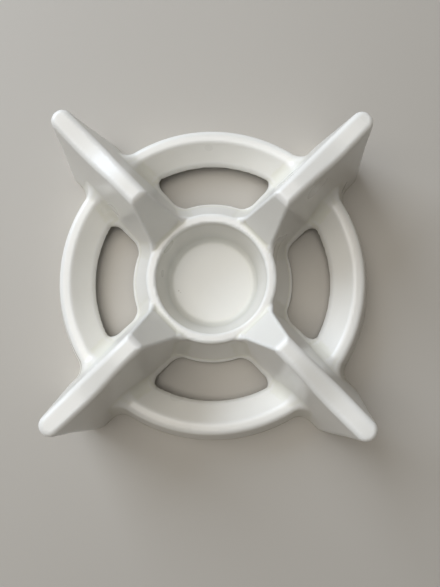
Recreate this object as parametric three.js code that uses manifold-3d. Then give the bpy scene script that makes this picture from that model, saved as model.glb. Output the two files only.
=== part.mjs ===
// Four-armed porcelain tealight warmer, in millimetres, +Z up.
// The origin is the centre of the foot, on the surface that the warmer stands on.
// The real casting is one piece. It is divided here along its moulded features, with a fine
// clearance between neighbours, so that every feature is a solid and a node of its own.
import * as THREE from "three";
import { mergeVertices } from "three/addons/utils/BufferGeometryUtils.js";
import Module from "manifold-3d";

const wasm = await Module();
wasm.setup();

// ---- Driving dimensions ----
const GAP = 0.3; // clearance between neighbouring sections of the casting
const WALL = 4.2; // thickness of the outer walls
const FOOT_HEIGHT = 1.2; // height of the unglazed contact band

const RING_RADIUS = 73; // outer edge of the base ring, on the table
const LIP_INSET = 8.7; // from the ring's outer edge to the crest of its lip
const LIP_HEIGHT = 17.2;
const LIP_ROUND = 2.4;
const DISH_WIDTH = 8.9; // from the lip's crest in to the shelf
const SHELF_HEIGHT = 8.9;
const SHELF_SLOPE = 0.28; // fall of the shelf towards the hub, per millimetre
const SHELF_THICKNESS = 3.2;

const CUP_FLOOR_RADIUS = 19.6;
const CUP_FLOOR_HEIGHT = 4.5;
const CUP_FLARE = 3.7; // growth of the cup's radius from its floor to its mouth
const CUP_WALL = 3.8;
const RIM_ROUND = 2.4; // radius of the cup's rounded rim
const RIM_HEIGHT = 22.9;
const RIM_SKIRT_DROP = 1; // from the centre of the rim's round down to the hub's cone
const RIM_NECK = 0.6; // how far the cup's wall reaches outwards under its rim
const HUB_SPREAD = 8.1; // growth of the hub's radius from the rim to the cone's foot
const HUB_SHELF_HEIGHT = 3.9;
const HUB_SHELF_RISE = 0.3;

const WINDOW_OUTER_MARGIN = 1.4; // shelf left outside the windows
const WINDOW_INNER_MARGIN = 1; // shelf left inside the windows
const WINDOW_OUTER_CORNER = 6;
const WINDOW_INNER_CORNER = 3.6;

const FIN_COUNT = 4;
const FIN_HEIGHT = 50.5;
const FIN_DIP = 3.2; // how far the saddle of the top sinks below the seat
const FIN_SADDLE_SHARE = 0.55; // where the saddle is lowest, between the seat and the tip
const FIN_TIP_RISE = 1.3; // how far the tip rises again from the saddle
const FIN_TOP_HALF_WIDTH = 3.6;
const FIN_DRAFT = 0.182; // growth of the half width, per millimetre downwards
const FIN_SEAT_SETBACK = 0.6; // inner end of the fin's top, outside the foot of the hub
const FIN_SEAT_LENGTH = 7;
const FIN_TIP_OVERHANG = 11.3; // tip of the fin's top, outside the ring
const FIN_TOE_OVERHANG = 15; // outer end of the fin's foot, outside the ring
const FOOT_BAND_DEPTH = 13; // how far the contact band follows the fins inside the ring
const RAMP_SLOPE = 0.381; // run of the inner ramp, per millimetre of height
const TOE_CORNER = 7; // plan radius of the outer corners at the foot
const TOE_CORNER_SHARE = 0.94; // most of the half width that those corners may take
const RAMP_CORNER = 0.9;
const TOP_ROUND = 1.5;
const HOLLOW_ROUND = 0.2;
const HOLLOW_CREST_HALF_WIDTH = 1; // of the hollow inside the fin, at its top

// ---- Derived sizes ----
const BODY_BOTTOM = FOOT_HEIGHT + GAP;
const BELOW = -5; // safely under the table
const FAR = 120; // safely outside the whole part
const ROUND_STEPS = 64;
const HALF_ROUND_RISE = 1 - Math.SQRT1_2; // halfway round a quarter circle, from its end
const LIP_RADIUS = RING_RADIUS - LIP_INSET;
const SHELF_RADIUS = LIP_RADIUS - DISH_WIDTH;
const CUP_MOUTH_RADIUS = CUP_FLOOR_RADIUS + CUP_FLARE;
const RIM_RADIUS = CUP_MOUTH_RADIUS + RIM_ROUND;
const RIM_CENTRE_HEIGHT = RIM_HEIGHT - RIM_ROUND;
const CONE_TOP_HEIGHT = RIM_CENTRE_HEIGHT - RIM_SKIRT_DROP;
const CONE_SLOPE = HUB_SPREAD / (CONE_TOP_HEIGHT - HUB_SHELF_HEIGHT);
const HUB_FOOT_RADIUS = RIM_RADIUS + RIM_ROUND + HUB_SPREAD;
const WINDOW_OUTER_RADIUS = SHELF_RADIUS - WINDOW_OUTER_MARGIN;
const WINDOW_INNER_RADIUS = HUB_FOOT_RADIUS + WINDOW_INNER_MARGIN;
const WINDOW_SIDE = finHalfWidth(SHELF_HEIGHT); // window sides lie on the fins' flanks
const SHELF_INNER_RADIUS = WINDOW_INNER_RADIUS + WINDOW_INNER_CORNER;
const FIN_SEAT_START = HUB_FOOT_RADIUS + FIN_SEAT_SETBACK;
const FIN_TIP_RADIUS = RING_RADIUS + FIN_TIP_OVERHANG;
const FIN_TOE_RADIUS = RING_RADIUS + FIN_TOE_OVERHANG;
const FOOT_INNER_RADIUS = RING_RADIUS - FOOT_BAND_DEPTH;
const ROOT_SPLIT_RADIUS = (WINDOW_INNER_RADIUS + WINDOW_OUTER_RADIUS) / 2;

// ---- Finishes ----
const glazed = new THREE.MeshStandardMaterial({
  color: 0xe9e8e2,
  roughness: 0.22,
  metalness: 0,
});
const bisque = new THREE.MeshStandardMaterial({
  color: 0xd9d4c8,
  roughness: 0.85,
  metalness: 0,
});

// ---- Solids ----
function toSolid(geometry) {
  const bare = geometry.clone();
  bare.deleteAttribute("normal");
  bare.deleteAttribute("uv");
  const merged = mergeVertices(bare, 1e-4);
  return new wasm.Manifold(
    new wasm.Mesh({
      numProp: 3,
      vertProperties: new Float32Array(merged.getAttribute("position").array),
      triVerts: new Uint32Array(merged.getIndex().array),
    }),
  );
}

function toMesh(name, solid, material) {
  const { vertProperties, triVerts, numProp } = solid.getMesh();
  const positions = new Float32Array((vertProperties.length / numProp) * 3);
  for (let i = 0; i * numProp < vertProperties.length; i++)
    positions.set(vertProperties.subarray(i * numProp, i * numProp + 3), i * 3);
  const geometry = new THREE.BufferGeometry();
  geometry.setAttribute("position", new THREE.BufferAttribute(positions, 3));
  geometry.setIndex([...triVerts]);
  geometry.computeVertexNormals();
  const mesh = new THREE.Mesh(geometry, material);
  mesh.name = name;
  return mesh;
}

// A body of revolution about Z from a closed outline of [radius, height] points, listed
// clockwise as seen with the radius to the right and the height up.
function turned(outline) {
  const closed = [...outline, outline[0]].reverse().map(([r, z]) => new THREE.Vector2(r, z));
  return toSolid(new THREE.LatheGeometry(closed, ROUND_STEPS).rotateX(Math.PI / 2));
}

// Points of an arc about [r, z], from one angle to another in degrees.
function arc([r, z], radius, from, to, steps) {
  return Array.from({ length: steps + 1 }, (_, i) => {
    const angle = THREE.MathUtils.degToRad(from + ((to - from) * i) / steps);
    return [r + radius * Math.cos(angle), z + radius * Math.sin(angle)];
  });
}

// A body skinned over stacked loops, lowest first. Each loop is symmetric about the X axis
// and point i mirrors point n - 1 - i, so both ends close with strips across the axis.
function skinned(loops) {
  const n = loops[0].length;
  const positions = loops.flat(2);
  const index = [];
  for (let level = 0; level + 1 < loops.length; level++)
    for (let i = 0; i < n; i++) {
      const a = level * n + i;
      const b = level * n + ((i + 1) % n);
      index.push(a, a + n, b, b, a + n, b + n);
    }
  const last = (loops.length - 1) * n;
  for (let i = 0; i + 1 < n / 2; i++) {
    const j = n - 1 - i;
    index.push(i, i + 1, j, i + 1, j - 1, j);
    index.push(last + i, last + j, last + i + 1, last + i + 1, last + j, last + j - 1);
  }
  const geometry = new THREE.BufferGeometry();
  geometry.setAttribute("position", new THREE.Float32BufferAttribute(positions, 3));
  geometry.setIndex(index);
  return toSolid(geometry);
}

const turnedAbout = (solid, degrees) => solid.rotate([0, 0, degrees]);

// ---- The fin: a tapered wall along +X ----
function finHalfWidth(z) {
  return FIN_TOP_HALF_WIDTH + FIN_DRAFT * (FIN_HEIGHT - z);
}

const rampRadius = (z) => FIN_SEAT_START - RAMP_SLOPE * (FIN_HEIGHT - z);

// The outer end stands upright at the foot and leans in towards the tip.
function toeRadius(z) {
  const share = Math.max(z, 0) / (FIN_HEIGHT - FIN_DIP);
  return FIN_TOE_RADIUS - (FIN_TOE_RADIUS - FIN_TIP_RADIUS) * share ** 2;
}

// Height of the fin's top along its length: a level seat, a shallow saddle, a raised tip.
function finTop(x) {
  const seatEnd = FIN_SEAT_START + FIN_SEAT_LENGTH;
  const saddle = seatEnd + FIN_SADDLE_SHARE * (FIN_TIP_RADIUS - seatEnd);
  const ease = (t) => THREE.MathUtils.smoothstep(t, 0, 1);
  if (x <= saddle) return FIN_HEIGHT - FIN_DIP * ease((x - seatEnd) / (saddle - seatEnd));
  const rise = ease((x - saddle) / (FIN_TIP_RADIUS - saddle));
  return FIN_HEIGHT - FIN_DIP + FIN_TIP_RISE * rise;
}

// One level of the fin's skin. heightAt gives the level's height over each place along X.
function finLoop(nominalHeight, heightAt, inset) {
  const start = rampRadius(nominalHeight) + inset;
  const end = toeRadius(nominalHeight) - inset;
  const nominalHalf = finHalfWidth(nominalHeight) - inset;
  const toeCorner = Math.min(TOE_CORNER, TOE_CORNER_SHARE * nominalHalf);
  const rampCorner = Math.min(RAMP_CORNER, nominalHalf / 2);
  const sideSteps = 12;
  const sideStart = start + rampCorner;
  const sideEnd = end - toeCorner;
  const side = [];
  for (let i = 1; i < sideSteps; i++)
    side.push([sideStart + ((sideEnd - sideStart) * i) / sideSteps, nominalHalf]);
  const half = [
    ...arc([sideStart, nominalHalf - rampCorner], rampCorner, 180, 90, 2),
    ...side,
    ...arc([sideEnd, nominalHalf - toeCorner], toeCorner, 90, 0, 6),
  ];
  const lift = ([x, y]) => {
    const z = heightAt(x);
    return [x, y * ((finHalfWidth(z) - inset) / nominalHalf), z];
  };
  const left = half.map(lift);
  const right = left.map(([x, y, z]) => [x, -y, z]).reverse();
  return [...left, ...right];
}

// The fin's outside when shell is 0. A positive shell moves every face inwards, which makes
// the hollow inside it, and a negative one moves them outwards, which makes its clearance.
function finBody(shell) {
  const round = shell > 0 ? HOLLOW_ROUND : TOP_ROUND;
  const crown = shell > 0 ? crownDrop() : shell;
  const shoulder = FIN_HEIGHT - crown - round;
  const halfway = HALF_ROUND_RISE * round;
  const thirds = [1 / 3, 2 / 3].map((share) => share * (shoulder - FIN_DIP));
  return skinned([
    finLoop(BELOW, () => BELOW, shell),
    ...thirds.map((z) => finLoop(z, () => z, shell)),
    finLoop(shoulder, (x) => finTop(x) - crown - round, shell),
    finLoop(shoulder, (x) => finTop(x) - crown - halfway, shell + halfway),
    finLoop(shoulder, (x) => finTop(x) - crown, shell + round),
  ]);
}

// How far below the top the hollow ends, where the fin is wide enough for it.
function crownDrop() {
  return (WALL + HOLLOW_CREST_HALF_WIDTH - FIN_TOP_HALF_WIDTH) / FIN_DRAFT;
}

// ---- Outlines of revolution ----
function ringOutline() {
  const lipCentre = [LIP_RADIUS, LIP_HEIGHT - LIP_ROUND];
  const wallLean = THREE.MathUtils.radToDeg(
    Math.atan2(RING_RADIUS - LIP_RADIUS - LIP_ROUND, LIP_HEIGHT - LIP_ROUND),
  );
  const dishLean = THREE.MathUtils.radToDeg(
    Math.atan2(lipCentre[1] - SHELF_HEIGHT, LIP_RADIUS - SHELF_RADIUS),
  );
  const shelfAt = (r) => SHELF_HEIGHT - SHELF_SLOPE * (SHELF_RADIUS - r);
  const wallRun = WALL / Math.cos(THREE.MathUtils.degToRad(wallLean));
  const underShelf = SHELF_RADIUS + WALL / 2;
  return [
    [RING_RADIUS - wallRun, 0],
    [LIP_RADIUS - LIP_ROUND / 4, LIP_HEIGHT - WALL - LIP_ROUND / 2],
    [underShelf, shelfAt(underShelf) - SHELF_THICKNESS],
    [SHELF_INNER_RADIUS, shelfAt(SHELF_INNER_RADIUS) - SHELF_THICKNESS],
    [SHELF_INNER_RADIUS, shelfAt(SHELF_INNER_RADIUS)],
    [SHELF_RADIUS, SHELF_HEIGHT],
    ...arc(lipCentre, LIP_ROUND, 90 + dishLean, wallLean, 6),
    [RING_RADIUS, 0],
  ];
}

function cupWallOutline() {
  return [
    [CUP_FLOOR_RADIUS + CUP_WALL, BODY_BOTTOM],
    [CUP_FLOOR_RADIUS, BODY_BOTTOM],
    [CUP_FLOOR_RADIUS, CUP_FLOOR_HEIGHT],
    ...arc([RIM_RADIUS, RIM_CENTRE_HEIGHT], RIM_ROUND, 180, 0, 7),
    [RIM_RADIUS + RIM_ROUND, CONE_TOP_HEIGHT],
    [RIM_RADIUS + RIM_NECK, CONE_TOP_HEIGHT - RIM_SKIRT_DROP],
  ];
}

// Radius of the hub's cone at a height.
function hubConeRadius(z) {
  return RIM_RADIUS + RIM_ROUND + CONE_SLOPE * (CONE_TOP_HEIGHT - z);
}

function hubSkirtOutline() {
  const top = CONE_TOP_HEIGHT - GAP;
  const neck = RIM_RADIUS + RIM_NECK + GAP;
  const neckTop = CONE_TOP_HEIGHT - RIM_SKIRT_DROP - GAP;
  const wallRun = WALL * Math.hypot(1, CONE_SLOPE);
  return [
    [hubConeRadius(BODY_BOTTOM) - wallRun, BODY_BOTTOM],
    [neck, CONE_TOP_HEIGHT - RIM_SKIRT_DROP - WALL],
    [neck, neckTop],
    [hubConeRadius(top), top],
    [HUB_FOOT_RADIUS, HUB_SHELF_HEIGHT],
    [SHELF_INNER_RADIUS, HUB_SHELF_HEIGHT + HUB_SHELF_RISE],
    [SHELF_INNER_RADIUS, BODY_BOTTOM],
  ];
}

// Everything inside the hub's outer surface, grown by the clearance.
function hubEnvelope(clearance) {
  const rimCentre = [RIM_RADIUS, RIM_CENTRE_HEIGHT];
  return turned([
    [0, BELOW],
    [0, RIM_HEIGHT + clearance],
    ...arc(rimCentre, RIM_ROUND + clearance, 90, 0, 5),
    [hubConeRadius(BELOW) + clearance, BELOW],
  ]);
}

// ---- Windows ----
// A kidney-shaped prism about +X, between two fins. Its sides lie on the fins' flanks, its
// ends are arcs about the hub, and its four corners are round.
function windowPrism() {
  const diagonal = Math.PI / FIN_COUNT;
  const cornerAt = (distance, round) => {
    const angle = diagonal - Math.asin((WINDOW_SIDE + round) / distance);
    return { angle, x: distance * Math.cos(angle), y: distance * Math.sin(angle) };
  };
  const outer = cornerAt(WINDOW_OUTER_RADIUS - WINDOW_OUTER_CORNER, WINDOW_OUTER_CORNER);
  const inner = cornerAt(WINDOW_INNER_RADIUS + WINDOW_INNER_CORNER, WINDOW_INNER_CORNER);
  const flank = diagonal + Math.PI / 2;
  const shape = new THREE.Shape();
  shape.absarc(0, 0, WINDOW_OUTER_RADIUS, -outer.angle, outer.angle, false);
  shape.absarc(outer.x, outer.y, WINDOW_OUTER_CORNER, outer.angle, flank, false);
  shape.absarc(inner.x, inner.y, WINDOW_INNER_CORNER, flank, Math.PI + inner.angle, false);
  shape.absarc(0, 0, WINDOW_INNER_RADIUS, inner.angle, -inner.angle, true);
  shape.absarc(inner.x, -inner.y, WINDOW_INNER_CORNER, Math.PI - inner.angle, -flank, false);
  shape.absarc(outer.x, -outer.y, WINDOW_OUTER_CORNER, -flank, -outer.angle, false);
  const height = FIN_HEIGHT - BELOW;
  const prism = new THREE.ExtrudeGeometry(shape, {
    depth: height,
    bevelEnabled: false,
    curveSegments: 8,
  });
  return toSolid(prism.translate(0, 0, BELOW));
}

// ---- Cutting tools ----
const block = (xLow, xHigh, yHalf, zLow, zHigh) =>
  toSolid(
    new THREE.BoxGeometry(xHigh - xLow, 2 * yHalf, zHigh - zLow).translate(
      (xLow + xHigh) / 2,
      0,
      (zLow + zHigh) / 2,
    ),
  );

const finAngle = (i) => (360 / FIN_COUNT) * (i + 0.5);
const windowAngle = (i) => (360 / FIN_COUNT) * i;
const allRound = (solid, angleOf) =>
  Array.from({ length: FIN_COUNT }, (_, i) => turnedAbout(solid, angleOf(i))).reduce(
    (all, copy) => all.add(copy),
  );

const body = block(-FAR, FAR, FAR, BODY_BOTTOM, FAR);
const foot = block(-FAR, FAR, FAR, 0, FOOT_HEIGHT);
const windows = allRound(windowPrism(), windowAngle);

// ---- Sections of the casting ----
const finShell = finBody(0).subtract(finBody(WALL));
const finClearances = allRound(finBody(-GAP), finAngle);
const ringShell = turned(ringOutline()).subtract(windows).subtract(finClearances);

function cupFloor() {
  return turned([
    [0, BODY_BOTTOM],
    [0, CUP_FLOOR_HEIGHT],
    [CUP_FLOOR_RADIUS - GAP, CUP_FLOOR_HEIGHT],
    [CUP_FLOOR_RADIUS - GAP, BODY_BOTTOM],
  ]);
}

function hubSkirt() {
  const finsOutsideCone = finClearances.subtract(hubEnvelope(0));
  return turned(hubSkirtOutline()).subtract(windows).subtract(finsOutsideCone);
}

// The stretch of the ring about +X, between two fins.
function ringSection(layer) {
  const reach = FAR * Math.tan(Math.PI / FIN_COUNT);
  const wedge = new THREE.Shape([
    new THREE.Vector2(0, 0),
    new THREE.Vector2(FAR, -reach),
    new THREE.Vector2(FAR, reach),
  ]);
  const sector = new THREE.ExtrudeGeometry(wedge, { depth: FAR, bevelEnabled: false });
  return ringShell.intersect(layer).intersect(toSolid(sector));
}

// The stretch of a fin between two places along its length, outside the hub.
function finSection(layer, from, to) {
  const span = block(from, to, FAR, BELOW, FAR);
  return finShell.subtract(hubEnvelope(GAP)).intersect(layer).intersect(span);
}

// ---- The warmer ----
const warmer = new THREE.Group();
warmer.add(toMesh("cup_floor", cupFloor(), glazed));
warmer.add(toMesh("cup_wall", turned(cupWallOutline()), glazed));
warmer.add(toMesh("hub_skirt", hubSkirt(), glazed));

["east", "north", "west", "south"].forEach((side, i) => {
  const place = (solid) => turnedAbout(solid, windowAngle(i));
  warmer.add(toMesh(`ring_arc_${side}`, place(ringSection(body)), glazed));
  warmer.add(toMesh(`foot_arc_${side}`, place(ringSection(foot)), bisque));
});

["ne", "nw", "sw", "se"].forEach((corner, i) => {
  const place = (solid) => turnedAbout(solid, finAngle(i));
  const root = finSection(body, 0, ROOT_SPLIT_RADIUS - GAP / 2);
  const blade = finSection(body, ROOT_SPLIT_RADIUS + GAP / 2, FAR);
  const toe = finSection(foot, FOOT_INNER_RADIUS, FAR);
  warmer.add(toMesh(`fin_root_${corner}`, place(root), glazed));
  warmer.add(toMesh(`fin_blade_${corner}`, place(blade), glazed));
  warmer.add(toMesh(`foot_toe_${corner}`, place(toe), bisque));
});

export default warmer;
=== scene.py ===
import math

import bmesh
import bpy
import numpy as np
from mathutils import Matrix, Vector


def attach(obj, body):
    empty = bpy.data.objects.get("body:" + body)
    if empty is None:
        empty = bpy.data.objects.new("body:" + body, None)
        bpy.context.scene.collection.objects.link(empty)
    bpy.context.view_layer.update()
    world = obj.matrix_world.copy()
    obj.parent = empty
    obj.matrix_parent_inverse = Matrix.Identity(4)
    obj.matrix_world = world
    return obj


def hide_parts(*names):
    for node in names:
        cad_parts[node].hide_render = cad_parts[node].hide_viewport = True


# The warmer is one glazed casting, so its visible surface is one continuous skin over all the
# CAD's sections. The skin is the zero level of a distance field in millimetres, in which every
# edge and junction is rounded as it is under glaze.

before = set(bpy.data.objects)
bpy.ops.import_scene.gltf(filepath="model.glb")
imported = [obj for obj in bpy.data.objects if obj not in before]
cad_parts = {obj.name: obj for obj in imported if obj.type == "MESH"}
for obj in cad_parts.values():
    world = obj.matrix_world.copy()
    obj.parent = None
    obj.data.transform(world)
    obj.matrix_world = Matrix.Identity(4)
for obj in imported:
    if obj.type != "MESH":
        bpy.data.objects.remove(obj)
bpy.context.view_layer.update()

MM = 0.001

# ---- Sizes, in millimetres, as in the CAD ----
FOOT_HEIGHT = 1.2
FOOT_LIFT = 1.5  # everything inside the contact band stays this far above the table
FOOT_INNER_RADIUS = 60.0
RING_RADIUS = 73.0
LIP_RADIUS, LIP_HEIGHT, LIP_ROUND = 64.3, 17.2, 2.4
SHELF_RADIUS, SHELF_HEIGHT, SHELF_SLOPE = 55.4, 8.9, 0.28
CUP_FLOOR_RADIUS, CUP_FLOOR_HEIGHT = 19.6, 4.5
RIM_RADIUS, RIM_ROUND, RIM_HEIGHT = 25.7, 2.4, 22.9
RIM_SKIRT_DROP = 1.0
HUB_FOOT_RADIUS, HUB_SHELF_HEIGHT = 36.2, 3.9
WINDOW_OUTER_RADIUS, WINDOW_INNER_RADIUS = 54.0, 37.2
FIN_HEIGHT, FIN_DIP, FIN_TIP_RISE = 50.5, 3.2, 1.3
FIN_TOP_HALF_WIDTH, FIN_DRAFT = 3.6, 0.182
FIN_SEAT_START, FIN_SEAT_LENGTH, FIN_SADDLE_SHARE = 36.8, 7.0, 0.55
FIN_TIP_RADIUS, FIN_TOE_RADIUS = 84.3, 88.0
RAMP_SLOPE = 0.381
TOE_CORNER, TOE_CORNER_SHARE = 7.0, 0.94
WINDOW_SIDE = FIN_TOP_HALF_WIDTH + FIN_DRAFT * (FIN_HEIGHT - SHELF_HEIGHT)
FIN_WALL, RING_WALL, SHELF_WALL = 4.2, 4.2, 3.2
FIN_HOLLOW_TOP = 41.5

# ---- Rounding of the skin's edges and junctions, in millimetres ----
CUP_FLOOR_EASE, CUP_FLOOR_ROUND = 0.6, 3.0  # the floor runs out a little, into a soft corner
CUP_MOUTH_ROUND = 4.0
RIM_LEAN = 0.05  # keeps the mouth's last stretch from standing quite upright
NECK_ROUND = 2.0
HUB_FOOT_ROUND = 2.2
HUB_SHELF_WIDTH, HUB_SHELF_ROUND = 3.6, 4.0
DISH_SETBACK, DISH_DROP, DISH_ROUND = 2.0, 1.3, 3.0  # where the dish meets the shelf
LIP_TILT = 0.25  # how much lower the lip's inner edge is
LIP_CORNER = 1.1 * LIP_ROUND
WINDOW_OUTER_CORNER, WINDOW_INNER_CORNER = 6.0, 5.0
WINDOW_EDGE_ROUND = 1.3
FIN_TOP_ROUND, RAMP_ROUND = 1.9, 1.1
FIN_CREST_BLUR = 0.1  # softens the crease of the fin's field along its middle plane
FIN_START = 0.2  # from the crest of the rim out to the start of the ramps
FIN_FILLET_TIGHT, FIN_FILLET_WIDE, FIN_FILLET_OUTSIDE = 0.9, 3.4, 0.7
FLANK_START, FLANK_BLEND = 5.5, 3.0  # distance from a fin's middle where its fillet widens
HUB_EDGE, HUB_EDGE_BLEND = 25.5, 3.5  # radius where it starts to widen on the flanks
OUTSIDE_START, OUTSIDE_BLEND = 40.0, 8.0  # radius over which it comes to its widest
WALL_CHANGE, WALL_CHANGE_BLEND = 60.0, 5.0  # radius where the shelf's wall becomes the ring's
HOLLOW_ROUND, HOLLOW_EDGE_ROUND, FOOT_EDGE_ROUND = 1.5, 0.9, 0.5
UNEVEN_DEPTH = 0.16

CELL = 1.1  # grid pitch that the skin is drawn on
SLOPE_STEP, BEND_STEP = 0.04, 0.6  # distances over which slope and bend are measured
SETTLE_REACH, SETTLE_LEAST = 0.4, 0.2  # longest move, and the least slope squared it divides by
SPREAD_SHARE, SPREAD_HOLD = 0.5, 0.85  # how far points spread, and how much sharp bends hold them
EDGE_CURVATURE, POOL_AND_SHADE_CURVATURE = 0.55, 0.30  # bend, per millimetre, that counts in full, for the paler edges (thin glaze and painted highlight) and the darker hollows (pooled glaze and painted shade)
# Where the painted shade in the cup fades out: inwards from the rim, and up the wall.
CUP_SHADE_RADIUS_FADE, CUP_SHADE_TOP, CUP_SHADE_FADE = 4.0, 14.0, 9.0
BELOW_TABLE = 1.6  # the skin runs on this far below the table, where it is cut off flat
SECTION_DEPTH = 20.0  # the section runs on this far below the table
PAST_AXIS = 6.0  # and this far past the axis

# Firing specks in the glaze, as places and radii in millimetres.
SPECKS = (
    ((-15.6, -4.2, CUP_FLOOR_HEIGHT), 0.42),
    ((-14.7, -5.0, CUP_FLOOR_HEIGHT), 0.30),
)
SPECK_CORE = 0.6  # share of a speck's radius that is fully dark


# ---- Distance field ----
def smooth(t):
    """Eased step, 0 below 0 and 1 above 1."""
    t = np.clip(t, 0.0, 1.0)
    return t * t * (3.0 - 2.0 * t)


def meet(a, b, r):
    """Intersection of two fields, with the edge between them rounded to radius r."""
    u = np.maximum(r + a, 0.0)
    v = np.maximum(r + b, 0.0)
    return np.minimum(-r, np.maximum(a, b)) + np.sqrt(u * u + v * v)


def join(a, b, r):
    """Union of two fields, with a fillet of radius r where they meet."""
    return -meet(-a, -b, r)


def filleted(points, steps=8):
    """A polygon through (radius, height, fillet) points, with each corner drawn as an arc."""
    out = []
    n = len(points)
    for i, (x, y, r) in enumerate(points):
        p = np.array([x, y])
        if r <= 0:
            out.append(p)
            continue
        a = np.array(points[i - 1][:2]) - p
        b = np.array(points[(i + 1) % n][:2]) - p
        la, lb = np.linalg.norm(a), np.linalg.norm(b)
        a, b = a / la, b / lb
        half = 0.5 * math.acos(float(np.clip(a @ b, -1, 1)))
        reach = min(r / math.tan(half), 0.48 * la, 0.48 * lb)
        r = reach * math.tan(half)
        centre = p + (a + b) / np.linalg.norm(a + b) * (r / math.sin(half))
        start, end = p + a * reach - centre, p + b * reach - centre
        turn = math.atan2(start[0] * end[1] - start[1] * end[0], float(start @ end))
        for k in range(steps + 1):
            c, s = math.cos(turn * k / steps), math.sin(turn * k / steps)
            out.append(centre + np.array([c * start[0] - s * start[1], s * start[0] + c * start[1]]))
    return np.array(out)


def outline():
    """Half section of the ring and hub as one solid, windows and fins left out."""
    rim_in, rim_out = RIM_RADIUS - RIM_ROUND, RIM_RADIUS + RIM_ROUND
    rim_low = RIM_HEIGHT - RIM_ROUND
    lip_low = LIP_HEIGHT - LIP_ROUND
    ring_draft = (RING_RADIUS - LIP_RADIUS - LIP_ROUND) / lip_low
    shelf_in = WINDOW_INNER_RADIUS + HUB_SHELF_WIDTH
    return filleted(
        [
            (-PAST_AXIS, -SECTION_DEPTH, 0),
            (-PAST_AXIS, CUP_FLOOR_HEIGHT, 0),
            (CUP_FLOOR_RADIUS + CUP_FLOOR_EASE, CUP_FLOOR_HEIGHT, CUP_FLOOR_ROUND),
            (rim_in, rim_low, CUP_MOUTH_ROUND),
            (rim_in + RIM_LEAN, RIM_HEIGHT, RIM_ROUND),
            (rim_out, RIM_HEIGHT, RIM_ROUND),
            (rim_out, rim_low - RIM_SKIRT_DROP, NECK_ROUND),
            (HUB_FOOT_RADIUS, HUB_SHELF_HEIGHT, HUB_FOOT_ROUND),
            (shelf_in, SHELF_HEIGHT - SHELF_SLOPE * (SHELF_RADIUS - shelf_in), HUB_SHELF_ROUND),
            (SHELF_RADIUS - DISH_SETBACK, SHELF_HEIGHT - DISH_DROP, DISH_ROUND),
            (LIP_RADIUS - LIP_ROUND, LIP_HEIGHT - LIP_TILT, LIP_CORNER),
            (LIP_RADIUS + 0.9 * LIP_ROUND, LIP_HEIGHT, LIP_CORNER),
            (RING_RADIUS, 0.0, 0),
            (RING_RADIUS + ring_draft * SECTION_DEPTH, -SECTION_DEPTH, 0),
        ]
    )


def polygon_field(poly, r, z):
    """Signed distance from points to a closed polygon, negative inside."""
    best = np.full(r.shape, 1e9)
    inside = np.zeros(r.shape, bool)
    for (x0, y0), (x1, y1) in zip(poly, np.roll(poly, -1, 0)):
        dx, dy = x1 - x0, y1 - y0
        t = np.clip(((r - x0) * dx + (z - y0) * dy) / (dx * dx + dy * dy + 1e-12), 0, 1)
        best = np.minimum(best, (r - x0 - t * dx) ** 2 + (z - y0 - t * dy) ** 2)
        if y0 != y1:
            crosses = (y0 > z) != (y1 > z)
            inside ^= crosses & (r < x0 + (z - y0) * dx / dy)
    return np.where(inside, -1.0, 1.0) * np.sqrt(best)


# The section's field is worked out once, on a fine grid of radius and height.
TABLE_STEP = 0.2
TABLE_R0, TABLE_Z0 = -2.0, -6.0
table_r = np.arange(TABLE_R0, 100.0, TABLE_STEP)
table_z = np.arange(TABLE_Z0, 58.0, TABLE_STEP)
section_table = polygon_field(outline(), *np.meshgrid(table_r, table_z, indexing="ij"))


def section_field(r, z):
    """The section's field at any place, read from its table."""
    u = np.clip((r - TABLE_R0) / TABLE_STEP, 0, len(table_r) - 1.001)
    v = np.clip((z - TABLE_Z0) / TABLE_STEP, 0, len(table_z) - 1.001)
    i, j = u.astype(int), v.astype(int)
    u, v = u - i, v - j
    t = section_table
    low = t[i, j] * (1 - u) + t[i + 1, j] * u
    high = t[i, j + 1] * (1 - u) + t[i + 1, j + 1] * u
    return low * (1 - v) + high * v


def fin_top(x):
    """Height of a fin's top: level seat, saddle, and a rise to the tip."""
    seat_end = FIN_SEAT_START + FIN_SEAT_LENGTH
    saddle = seat_end + FIN_SADDLE_SHARE * (FIN_TIP_RADIUS - seat_end)
    dip = smooth((x - seat_end) / (saddle - seat_end))
    rise = smooth((x - saddle) / (FIN_TIP_RADIUS - saddle))
    return FIN_HEIGHT - FIN_DIP * dip + FIN_TIP_RISE * rise


def fin_field(x, y, z):
    """One fin along +x, solid, running on below the table."""
    half = FIN_TOP_HALF_WIDTH + FIN_DRAFT * (FIN_HEIGHT - z)
    share = np.maximum(z, 0.0) / (FIN_HEIGHT - FIN_DIP)
    side = (np.sqrt(y * y + FIN_CREST_BLUR**2) - half) / math.hypot(1, FIN_DRAFT)
    toe = x - (FIN_TOE_RADIUS - (FIN_TOE_RADIUS - FIN_TIP_RADIUS) * share**2)
    ramp = (FIN_SEAT_START - RAMP_SLOPE * (FIN_HEIGHT - z) - x) / math.hypot(1, RAMP_SLOPE)
    plan = meet(side, toe, np.minimum(TOE_CORNER, TOE_CORNER_SHARE * half))
    plan = meet(plan, ramp, RAMP_ROUND)
    return meet(plan, z - fin_top(x), FIN_TOP_ROUND)


def window_field(r, y):
    """The windows, as upright prisms. y is the distance from the nearest fin's middle plane."""
    sides = meet(WINDOW_SIDE - np.abs(y), r - WINDOW_OUTER_RADIUS, WINDOW_OUTER_CORNER)
    return meet(sides, WINDOW_INNER_RADIUS - r, WINDOW_INNER_CORNER)


def unevenness(x, y, z):
    """Slow waves of a slip-cast wall, from 0 to 1."""
    a = np.sin(x / 13.0 + 0.7 * np.sin(y / 19.0) + 0.4)
    b = np.sin(y / 11.0 + 0.9 * np.sin(z / 12.0) + 2.1)
    c = np.sin((x + y + 2 * z) / 17.0 + 1.3)
    return 0.5 + (a + b + c) / 6.0


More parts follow.
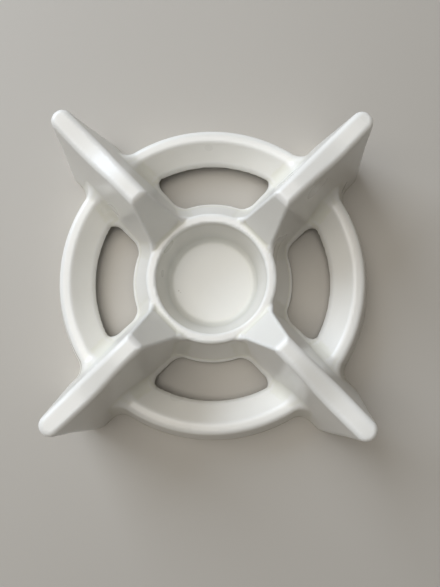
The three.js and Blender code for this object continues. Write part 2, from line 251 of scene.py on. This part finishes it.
def fin_fillet(r, off_middle):
    """Fillet at a fin's foot: tight on its ramp, wide on its flanks, widest at its outer end."""
    flank = smooth((off_middle - FLANK_START) / FLANK_BLEND) * smooth((r - HUB_EDGE) / HUB_EDGE_BLEND)
    outside = smooth((r - OUTSIDE_START) / OUTSIDE_BLEND)
    return FIN_FILLET_TIGHT + FIN_FILLET_WIDE * np.maximum(flank, outside) + FIN_FILLET_OUTSIDE * outside


def body_field(p):
    """The whole casting: section and fins joined, less the windows, the hollow and the lift."""
    x, y, z = p[..., 0], p[..., 1], p[..., 2]
    r = np.sqrt(x * x + y * y)
    turn = np.arctan2(y, x) % (math.pi / 2) - math.pi / 4
    fin_x, fin_y = r * np.cos(turn), r * np.sin(turn)

    section = section_field(r, z)
    fin = np.maximum(fin_field(fin_x, fin_y, z), (RIM_RADIUS + FIN_START) - r)
    plate = meet(section, -window_field(r, fin_y), WINDOW_EDGE_ROUND)
    solid = join(plate, fin, fin_fillet(r, np.abs(fin_y)))

    wall = SHELF_WALL + (RING_WALL - SHELF_WALL) * smooth((r - WALL_CHANGE) / WALL_CHANGE_BLEND)
    fin_hollow = meet(fin + FIN_WALL, z - FIN_HOLLOW_TOP, HOLLOW_ROUND)
    hollow = join(section + wall, fin_hollow, HOLLOW_ROUND)
    lifted = meet(z - FOOT_LIFT, r - FOOT_INNER_RADIUS, FOOT_EDGE_ROUND)
    shell = meet(solid + UNEVEN_DEPTH * unevenness(x, y, z), -hollow, HOLLOW_EDGE_ROUND)
    shell = meet(shell, -lifted, FOOT_EDGE_ROUND)
    return np.maximum(shell, -z - BELOW_TABLE)


# ---- Skin ----
def skin(low, high, cell):
    """Vertices and quads of the body's surface, one vertex for each grid cell it crosses."""
    axes = [np.arange(a, b + cell, cell) for a, b in zip(low, high)]
    shape = [len(a) for a in axes]
    field = np.empty(shape, np.float32)
    gx, gy = np.meshgrid(axes[0], axes[1], indexing="ij")
    for k, z in enumerate(axes[2]):
        field[:, :, k] = body_field(np.stack([gx, gy, np.full_like(gx, z)], -1))
    inside = field < 0
    cells = [n - 1 for n in shape]
    corners = [(a, b, c) for a in (0, 1) for b in (0, 1) for c in (0, 1)]
    count = np.zeros(cells, np.int8)
    for a, b, c in corners:
        count += inside[a : a + cells[0], b : b + cells[1], c : c + cells[2]]
    active = np.argwhere((count > 0) & (count < 8))
    number = np.full(cells, -1, np.int64)
    number[tuple(active.T)] = np.arange(len(active))

    total = np.zeros((len(active), 3))
    hits = np.zeros(len(active))
    for first in corners:
        for axis in range(3):
            if first[axis]:
                continue
            second = list(first)
            second[axis] = 1
            fa = field[tuple((active + first).T)]
            fb = field[tuple((active + second).T)]
            cut = (fa < 0) != (fb < 0)
            t = np.where(cut, fa / np.where(cut, fa - fb, 1.0), 0.0)
            point = np.tile(np.array(first, float), (len(active), 1))
            point[:, axis] += t
            total[cut] += point[cut]
            hits += cut
    origin = np.array([a[0] for a in axes])
    verts = origin + cell * (active + total / hits[:, None])

    quads = []
    for axis in range(3):
        u, v = (axis + 1) % 3, (axis + 2) % 3
        head = [slice(None)] * 3
        tail = [slice(None)] * 3
        head[axis], tail[axis] = slice(0, -1), slice(1, None)
        a, b = inside[tuple(head)], inside[tuple(tail)]
        edges = np.argwhere(a != b)
        outward = a[tuple(edges.T)]
        keep = (edges[:, u] > 0) & (edges[:, v] > 0)
        keep &= (edges[:, u] < cells[u]) & (edges[:, v] < cells[v])
        edges, outward = edges[keep], outward[keep]
        ring = []
        for du, dv in ((-1, -1), (0, -1), (0, 0), (-1, 0)):
            e = edges.copy()
            e[:, u] += du
            e[:, v] += dv
            ring.append(number[tuple(e.T)])
        ring = np.stack(ring, 1)
        ring[~outward] = ring[~outward][:, ::-1]
        quads.append(ring)
    return verts, np.concatenate(quads)


def slope_of(p):
    """Gradient of the field."""
    steps = np.eye(3) * SLOPE_STEP
    return np.stack([(body_field(p + s) - body_field(p - s)) / (2 * SLOPE_STEP) for s in steps], -1)


def facing_of(p):
    """Outward direction of the surface."""
    g = slope_of(p)
    return g / np.maximum(np.linalg.norm(g, axis=-1, keepdims=True), 1e-6)


def settle(p, rounds):
    """Moves points onto the surface, by SETTLE_REACH a round at most along each axis."""
    for _ in range(rounds):
        f = body_field(p)
        g = slope_of(p)
        step = f[:, None] * g / np.maximum((g * g).sum(-1), SETTLE_LEAST)[:, None]
        p = p - np.clip(step, -SETTLE_REACH, SETTLE_REACH)
    return p


def curvature_of(p):
    """How the surface bends, per millimetre: positive on rounded edges, negative in fillets."""
    total = -6.0 * body_field(p)
    for s in np.eye(3) * BEND_STEP:
        total = total + body_field(p + s) + body_field(p - s)
    return total / (BEND_STEP * BEND_STEP)


def evened(p, quads, rounds):
    """Spreads points evenly along the surface, less where it bends sharply."""
    pairs = np.concatenate([quads[:, [0, 1]], quads[:, [1, 2]], quads[:, [2, 3]], quads[:, [3, 0]]])
    pairs = np.concatenate([pairs, pairs[:, ::-1]])
    degree = np.bincount(pairs[:, 0], minlength=len(p))
    for _ in range(rounds):
        mean = np.stack(
            [np.bincount(pairs[:, 0], p[pairs[:, 1], k], minlength=len(p)) for k in range(3)], -1
        )
        pull = mean / degree[:, None] - p
        facing = facing_of(p)
        pull -= (pull * facing).sum(-1, keepdims=True) * facing
        calm = 1.0 - SPREAD_HOLD * smooth(np.abs(curvature_of(p)))
        p = settle(p + SPREAD_SHARE * calm[:, None] * pull, 1)
    return p


def painted_cup_shade(p):
    """Share of painted shade in the cup: 1 on its floor, fading out up its wall."""
    inside = smooth((RIM_RADIUS - np.hypot(p[:, 0], p[:, 1])) / CUP_SHADE_RADIUS_FADE)
    low = smooth((CUP_SHADE_TOP - p[:, 2]) / CUP_SHADE_FADE)
    return inside * low * (p[:, 2] > CUP_FLOOR_HEIGHT - 1.0)


def skin_mesh():
    """The whole skin as a mesh, with what the glaze needs to know as point attributes."""
    reach = RING_RADIUS + 2.0
    deep = BELOW_TABLE + 1.5 * CELL
    verts, quads = skin((-reach, -reach, -deep), (reach, reach, FIN_HEIGHT + 1.5), CELL)
    verts = settle(verts, 3)
    verts = evened(verts, quads, 4)
    verts = settle(verts, 3)
    curvature = curvature_of(verts)

    mesh = bpy.data.meshes.new("whole")
    mesh.vertices.add(len(verts))
    mesh.vertices.foreach_set("co", (verts * MM).ravel())
    mesh.loops.add(quads.size)
    mesh.loops.foreach_set("vertex_index", quads.ravel().astype(np.int32))
    mesh.polygons.add(len(quads))
    mesh.polygons.foreach_set("loop_start", np.arange(0, quads.size, 4, dtype=np.int32))
    mesh.update(calc_edges=True)
    mesh.validate()
    for name, values in (
        # paler rounded edges: glaze running thin there, and a painted highlight
        ("edge", smooth(curvature / EDGE_CURVATURE)),
        # darker, creamier hollows and fillets: glaze pooling there, and painted shade
        ("pool_and_shade", smooth(-curvature / POOL_AND_SHADE_CURVATURE)),
        # painted shade on the cup's floor and low wall
        ("cup_shade", painted_cup_shade(verts)),
    ):
        layer = mesh.attributes.new(name, "FLOAT", "POINT")
        layer.data.foreach_set("value", values.astype(np.float32))
    return mesh


def face_corners(mesh, cuts):
    """Points each face's corners the way of the field, and those of the flat cuts up or down."""
    places = np.empty(len(mesh.vertices) * 3)
    mesh.vertices.foreach_get("co", places)
    places = places.reshape(-1, 3) / MM
    corner_vertex = np.empty(len(mesh.loops), np.int32)
    mesh.loops.foreach_get("vertex_index", corner_vertex)
    sizes = np.empty(len(mesh.polygons), np.int32)
    mesh.polygons.foreach_get("loop_total", sizes)
    owner = np.repeat(np.arange(len(sizes)), sizes)
    facing = facing_of(places)[corner_vertex]
    for height, way in cuts:
        off_plane = np.abs(places[corner_vertex, 2] - height) > 1e-4
        in_cut = np.bincount(owner, off_plane, minlength=len(sizes)) == 0
        facing[in_cut[owner]] = (0, 0, way)
    mesh.normals_split_custom_set(facing)


def part_of_skin(whole, name, cuts):
    """A stretch of the skin. Each cut is a height and the way its flat face points, 1 is up."""
    bm = bmesh.new()
    bm.from_mesh(whole)
    for height, way in cuts:
        cut = bmesh.ops.bisect_plane(
            bm,
            geom=bm.verts[:] + bm.edges[:] + bm.faces[:],
            dist=1e-7,
            plane_co=(0, 0, height * MM),
            plane_no=(0, 0, 1),
            clear_inner=way < 0,
            clear_outer=way > 0,
        )
        rim = [e for e in cut["geom_cut"] if isinstance(e, bmesh.types.BMEdge)]
        bmesh.ops.triangle_fill(bm, use_beauty=True, edges=rim)
    bmesh.ops.recalc_face_normals(bm, faces=bm.faces[:])
    for f in bm.faces:
        f.smooth = True
    mesh = bpy.data.meshes.new(name)
    bm.to_mesh(mesh)
    bm.free()
    face_corners(mesh, cuts)
    piece = bpy.data.objects.new(name, mesh)
    bpy.context.scene.collection.objects.link(piece)
    return piece


whole = skin_mesh()
porcelain = part_of_skin(whole, "porcelain_body", [(FOOT_HEIGHT, -1)])
foot_band = part_of_skin(whole, "foot_band", [(0.0, -1), (FOOT_HEIGHT, 1)])
bpy.data.meshes.remove(whole)


# ---- Materials ----
GLAZE_DEEP, GLAZE_PALE = (0.80, 0.782, 0.732), (0.83, 0.815, 0.772)
# The cup tint is painted shade on the cup's floor and low wall.
# The pooled tint is glaze that pools in hollows and fillets, darkened further as painted shade.
# The thin tint is glaze running thin over rounded edges, paler too as a painted highlight.
GLAZE_POOLED_AND_SHADED, GLAZE_THIN_AND_HIGHLIT, GLAZE_CUP_SHADE = (0.745, 0.73, 0.63), (0.85, 0.845, 0.82), (0.70, 0.70, 0.67)
SPECK_COLOUR = (0.33, 0.30, 0.26)
BISQUE_DEEP, BISQUE_PALE, BISQUE_GRAIN = (0.64, 0.61, 0.545), (0.76, 0.735, 0.67), (0.50, 0.46, 0.39)
FLOOR_DEEP, FLOOR_PALE = (0.47, 0.44, 0.395), (0.50, 0.47, 0.425)


def material(name):
    """A new material with one principled shader, and its nodes, links and shader."""
    mat = bpy.data.materials.new(name)
    mat.use_nodes = True
    nodes = mat.node_tree.nodes
    nodes.clear()
    out = nodes.new("ShaderNodeOutputMaterial")
    shader = nodes.new("ShaderNodeBsdfPrincipled")
    mat.node_tree.links.new(shader.outputs["BSDF"], out.inputs["Surface"])
    return mat, nodes, mat.node_tree.links, shader


def noise(nodes, links, coords, scale, detail, roughness=0.5):
    n = nodes.new("ShaderNodeTexNoise")
    n.inputs["Scale"].default_value = scale
    n.inputs["Detail"].default_value = detail
    n.inputs["Roughness"].default_value = roughness
    links.new(coords, n.inputs["Vector"])
    return n.outputs["Fac"]


def mapped(nodes, links, value, low, high, to_low, to_high):
    n = nodes.new("ShaderNodeMapRange")
    n.inputs["From Min"].default_value = low
    n.inputs["From Max"].default_value = high
    n.inputs["To Min"].default_value = to_low
    n.inputs["To Max"].default_value = to_high
    links.new(value, n.inputs["Value"])
    return n.outputs["Result"]


def blended(nodes, links, share, first, second):
    n = nodes.new("ShaderNodeMix")
    n.data_type = "RGBA"
    links.new(share, n.inputs["Factor"])
    for socket, colour in ((n.inputs[6], first), (n.inputs[7], second)):
        if isinstance(colour, tuple):
            socket.default_value = (*colour, 1)
        else:
            links.new(colour, socket)
    return n.outputs[2]


def bumped(nodes, links, height, strength, distance, normal=None):
    n = nodes.new("ShaderNodeBump")
    n.inputs["Strength"].default_value = strength
    n.inputs["Distance"].default_value = distance
    links.new(height, n.inputs["Height"])
    if normal is not None:
        links.new(normal, n.inputs["Normal"])
    return n.outputs["Normal"]


def attribute(nodes, name):
    n = nodes.new("ShaderNodeAttribute")
    n.attribute_name = name
    return n.outputs["Fac"]


def speck(nodes, links, coords, place, radius):
    """1 inside a small spot, fading out over the outer part of its radius."""
    n = nodes.new("ShaderNodeVectorMath")
    n.operation = "DISTANCE"
    links.new(coords, n.inputs[0])
    n.inputs[1].default_value = [c * MM for c in place]
    core = radius * SPECK_CORE * MM
    return mapped(nodes, links, n.outputs["Value"], radius * MM, core, 0.0, 1.0)


def glaze():
    """White glaze: cloudy; creamy and darker where it pools in hollows, with painted shade there; paler
    over rounded edges where it runs thin, with a painted highlight there; darker in the cup as painted
    shade.
    """
    mat, nodes, links, shader = material("white_glaze")
    coords = nodes.new("ShaderNodeTexCoord").outputs["Object"]
    cloud = mapped(nodes, links, noise(nodes, links, coords, scale=30, detail=1), 0.2, 0.8, 0, 1)
    colour = blended(nodes, links, cloud, GLAZE_DEEP, GLAZE_PALE)
    # Hollows and fillets darken: pooled glaze, and painted shade where less light falls.
    pool_and_shade = mapped(nodes, links, attribute(nodes, "pool_and_shade"), 0, 1, 0, 0.75)
    colour = blended(nodes, links, pool_and_shade, colour, GLAZE_POOLED_AND_SHADED)
    # Rounded edges turn paler and cooler: thin glaze, and a painted highlight.
    thin_and_highlight = mapped(nodes, links, attribute(nodes, "edge"), 0.1, 1, 0, 0.55)
    colour = blended(nodes, links, thin_and_highlight, colour, GLAZE_THIN_AND_HIGHLIT)
    # The cup's floor and low wall darken as painted shade, where the rim's shadow falls.
    cup_shading = mapped(nodes, links, attribute(nodes, "cup_shade"), 0, 1, 0, 0.65)
    colour = blended(nodes, links, cup_shading, colour, GLAZE_CUP_SHADE)
    for place, radius in SPECKS:
        spot = mapped(nodes, links, speck(nodes, links, coords, place, radius), 0, 1, 0, 0.55)
        colour = blended(nodes, links, spot, colour, SPECK_COLOUR)
    links.new(colour, shader.inputs["Base Color"])

    wipe = noise(nodes, links, coords, scale=45, detail=1)
    links.new(mapped(nodes, links, wipe, 0, 1, 0.25, 0.33), shader.inputs["Roughness"])
    peel = noise(nodes, links, coords, scale=420, detail=2)
    wave = noise(nodes, links, coords, scale=75, detail=1)
    normal = bumped(nodes, links, wave, strength=0.35, distance=0.0005)
    normal = bumped(nodes, links, peel, strength=0.25, distance=0.00006, normal=normal)
    links.new(normal, shader.inputs["Normal"])
    shader.inputs["IOR"].default_value = 1.5
    shader.inputs["Coat Weight"].default_value = 0.2
    shader.inputs["Coat Roughness"].default_value = 0.12
    return mat


def bisque():
    """Bare fired clay: matt and finely grained."""
    mat, nodes, links, shader = material("bare_bisque")
    coords = nodes.new("ShaderNodeTexCoord").outputs["Object"]
    grain = noise(nodes, links, coords, scale=2400, detail=3, roughness=0.7)
    cloud = noise(nodes, links, coords, scale=60, detail=3)
    colour = blended(nodes, links, cloud, BISQUE_DEEP, BISQUE_PALE)
    fine = mapped(nodes, links, grain, 0.45, 0.75, 0, 0.35)
    colour = blended(nodes, links, fine, colour, BISQUE_GRAIN)
    links.new(colour, shader.inputs["Base Color"])
    links.new(mapped(nodes, links, grain, 0.3, 0.7, 0.78, 0.95), shader.inputs["Roughness"])
    normal = bumped(nodes, links, grain, strength=0.4, distance=0.00012)
    links.new(normal, shader.inputs["Normal"])
    return mat


porcelain.data.materials.append(glaze())
foot_band.data.materials.append(bisque())

band_nodes = sorted(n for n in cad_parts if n.startswith("foot_"))
glazed_nodes = sorted(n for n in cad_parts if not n.startswith("foot_"))
for piece, stands_for, slot in (
    (porcelain, glazed_nodes, "glazed_porcelain"),
    (foot_band, band_nodes, "unglazed_foot"),
):
    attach(piece, "root")
    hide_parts(*stands_for)


# ---- Floor, light and camera ----
def floor_material():
    mat, nodes, links, shader = material("pale_floor")
    coords = nodes.new("ShaderNodeTexCoord").outputs["Object"]
    tone = noise(nodes, links, coords, scale=6, detail=2)
    links.new(blended(nodes, links, tone, FLOOR_DEEP, FLOOR_PALE), shader.inputs["Base Color"])
    shader.inputs["Roughness"].default_value = 0.75
    return mat


def lay_floor(half, drop):
    """A square floor, just under the foot."""
    mesh = bpy.data.meshes.new("floor")
    corners = [(-half, -half, 0), (half, -half, 0), (half, half, 0), (-half, half, 0)]
    mesh.from_pydata(corners, [], [(0, 1, 2, 3)])
    mesh.materials.append(floor_material())
    floor = bpy.data.objects.new("floor", mesh)
    bpy.context.scene.collection.objects.link(floor)
    floor.location.z = -drop


def soft_light(name, place, size, power, colour):
    """A rectangular light aimed at the middle of the object."""
    data = bpy.data.lights.new(name, "AREA")
    data.shape = "RECTANGLE"
    data.size, data.size_y = size
    data.energy = power
    data.color = colour
    lamp = bpy.data.objects.new(name, data)
    lamp.location = place
    lamp.rotation_euler = (Vector(LIGHT_AIM) - Vector(place)).to_track_quat("-Z", "Y").to_euler()
    bpy.context.scene.collection.objects.link(lamp)


def room_light(colour, horizon, overhead, band):
    """Dim light from the room, brighter towards the horizon and below it."""
    world = bpy.data.worlds.new("room")
    bpy.context.scene.world = world
    world.use_nodes = True
    nodes, links = world.node_tree.nodes, world.node_tree.links
    split = nodes.new("ShaderNodeSeparateXYZ")
    links.new(nodes.new("ShaderNodeTexCoord").outputs["Generated"], split.inputs[0])
    strength = mapped(nodes, links, split.outputs["Z"], 0.0, band, horizon, overhead)
    links.new(strength, nodes["Background"].inputs["Strength"])
    nodes["Background"].inputs["Color"].default_value = (*colour, 1)


def set_camera(place, turn, sensor, lens):
    """The camera, turned about X, then Y, then Z."""
    data = bpy.data.cameras.new("camera")
    data.sensor_width = sensor
    data.lens = lens
    data.clip_start = 0.01
    camera = bpy.data.objects.new("camera", data)
    spin = Matrix.Identity(4)
    for angle, axis in zip(turn, "XYZ"):
        spin = Matrix.Rotation(math.radians(angle), 4, axis) @ spin
    camera.matrix_world = Matrix.Translation(place) @ spin
    bpy.context.scene.collection.objects.link(camera)
    bpy.context.scene.camera = camera


LIGHT_AIM = (0, 0, 0.02)
lay_floor(half=3.0, drop=0.00005)
soft_light("window", (-0.80, 0.78, 0.67), size=(0.85, 0.7), power=12.0, colour=(0.77, 0.865, 1.0))
soft_light("ceiling", (-0.30, 0.14, 1.1), size=(1.0, 1.0), power=8.7, colour=(1.0, 0.98, 0.94))
room_light(colour=(1.0, 0.92, 0.80), horizon=0.32, overhead=0.055, band=0.2)
set_camera((0.0057, -0.0205, 0.2079), turn=(4.29, 0.56, 0.68), sensor=36, lens=27.0215)
bpy.context.scene.view_settings.view_transform = "Standard"  # keeps the glaze white
